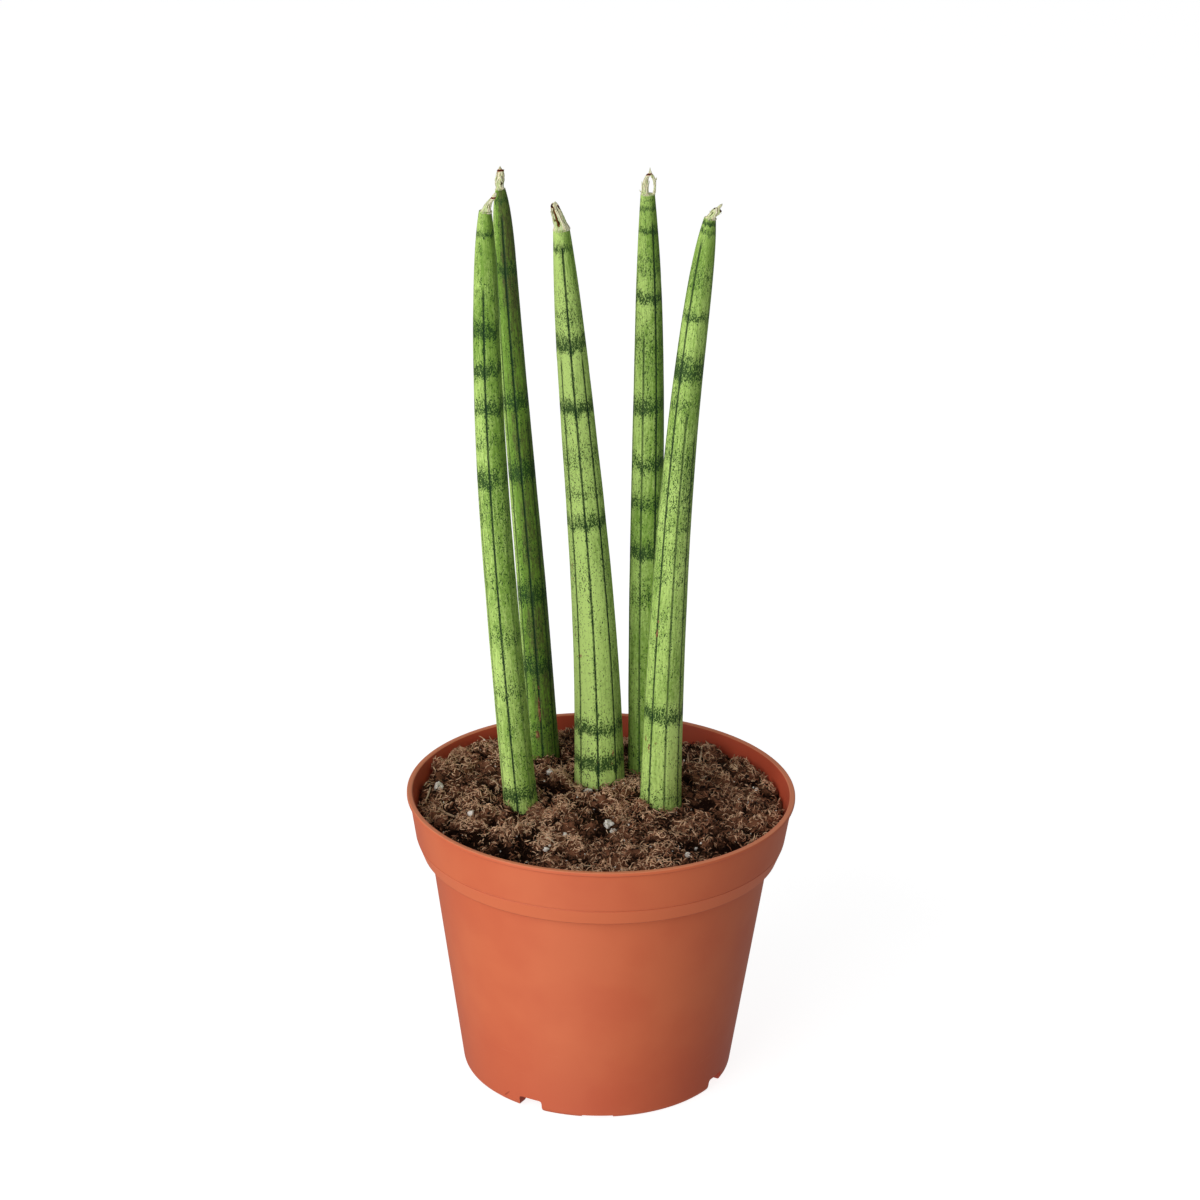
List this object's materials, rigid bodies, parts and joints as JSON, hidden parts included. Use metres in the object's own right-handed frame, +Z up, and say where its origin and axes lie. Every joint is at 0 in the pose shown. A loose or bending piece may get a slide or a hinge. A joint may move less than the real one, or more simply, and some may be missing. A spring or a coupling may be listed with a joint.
{
  "type": "potted cylindrical snake plant",
  "caption": "Cylindrical snake plant: round, tapering, dark-banded leaves with dried tips, standing in peat in a collared terracotta-coloured plastic nursery pot.",
  "frame": {"origin": "centre of the pot's foot, on the surface it stands on", "axes": "+Z up along the pot's axis, -Y towards the front, +X to the right"},
  "size_m": [0.12, 0.12, 0.2841],
  "materials": {
    "pot_plastic": "satin",
    "peat": "matte",
    "leaf": "satin",
    "perlite": "matte"
  },
  "bodies": {
    "root": {"pot": "pot_plastic", "soil": "peat", "leaf_left_front": "leaf", "leaf_left_back": "leaf", "leaf_centre": "leaf", "leaf_right_back": "leaf", "leaf_right_front": "leaf", "perlite_1": "perlite", "perlite_2": "perlite", "perlite_3": "perlite", "perlite_4": "perlite", "perlite_5": "perlite", "perlite_6": "perlite", "perlite_7": "perlite"}
  },
  "joints": []
}
